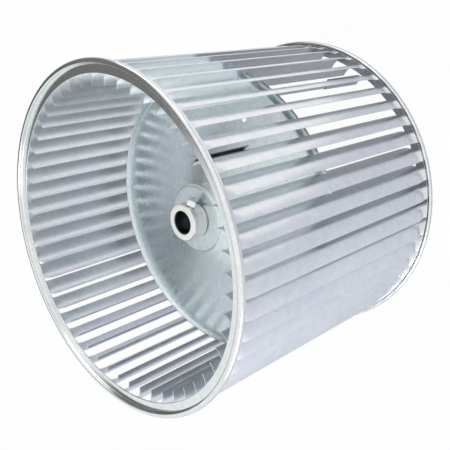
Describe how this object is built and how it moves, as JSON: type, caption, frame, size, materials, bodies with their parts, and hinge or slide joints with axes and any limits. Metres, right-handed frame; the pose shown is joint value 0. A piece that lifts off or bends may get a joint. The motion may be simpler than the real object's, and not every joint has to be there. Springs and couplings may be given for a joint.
{
  "type": "blower wheel",
  "caption": "Double-inlet blower wheel: curved blades between rolled end rings, held by a dished centre disc with a bored hub and a square-head set screw.",
  "frame": {"origin": "centre of the wheel's axis on the plane that the lower end ring stands on", "axes": "+Z along the wheel's axis towards the ring on the hub's side of the disc, +X towards the set screw's head"},
  "size_m": [0.2794, 0.2794, 0.2413],
  "materials": {
    "ring_steel": "galvanised sheet steel, rolled",
    "blade_steel": "galvanised sheet steel with a faint spangle",
    "disc_steel": "galvanised sheet steel, pressed, with a mottled spangle",
    "hub_steel": "turned steel with fine tool lines",
    "screw_steel": "zinc plated steel",
    "clip_steel": "bright spring steel strip"
  },
  "bodies": {
    "wheel": {"upper_end_ring": "ring_steel", "lower_end_ring": "ring_steel", "centre_disc": "disc_steel", "hub": "hub_steel", "upper_balance_clip": "clip_steel", "lower_balance_clip": "clip_steel", "blade_1": "blade_steel", "blade_2": "blade_steel", "blade_3": "blade_steel", "blade_4": "blade_steel", "blade_5": "blade_steel", "blade_6": "blade_steel", "blade_7": "blade_steel", "blade_8": "blade_steel", "blade_9": "blade_steel", "blade_10": "blade_steel", "blade_11": "blade_steel", "blade_12": "blade_steel", "blade_13": "blade_steel", "blade_14": "blade_steel", "blade_15": "blade_steel", "blade_16": "blade_steel", "blade_17": "blade_steel", "blade_18": "blade_steel", "blade_19": "blade_steel", "blade_20": "blade_steel", "blade_21": "blade_steel", "blade_22": "blade_steel", "blade_23": "blade_steel", "blade_24": "blade_steel", "blade_25": "blade_steel", "blade_26": "blade_steel", "blade_27": "blade_steel", "blade_28": "blade_steel", "blade_29": "blade_steel", "blade_30": "blade_steel", "blade_31": "blade_steel", "blade_32": "blade_steel", "blade_33": "blade_steel", "blade_34": "blade_steel", "blade_35": "blade_steel", "blade_36": "blade_steel", "blade_37": "blade_steel", "blade_38": "blade_steel", "blade_39": "blade_steel", "blade_40": "blade_steel", "blade_41": "blade_steel", "blade_42": "blade_steel", "blade_43": "blade_steel", "blade_44": "blade_steel", "blade_45": "blade_steel", "blade_46": "blade_steel", "blade_47": "blade_steel", "blade_48": "blade_steel", "blade_49": "blade_steel", "blade_50": "blade_steel", "blade_51": "blade_steel"},
    "screw": {"set_screw": "screw_steel"}
  },
  "joints": [
    {"name": "screw_travel", "type": "slide", "parent": "wheel", "child": "screw", "axis": [1, 0, 0], "range_m": [-0.0008, 0.005]}
  ]
}
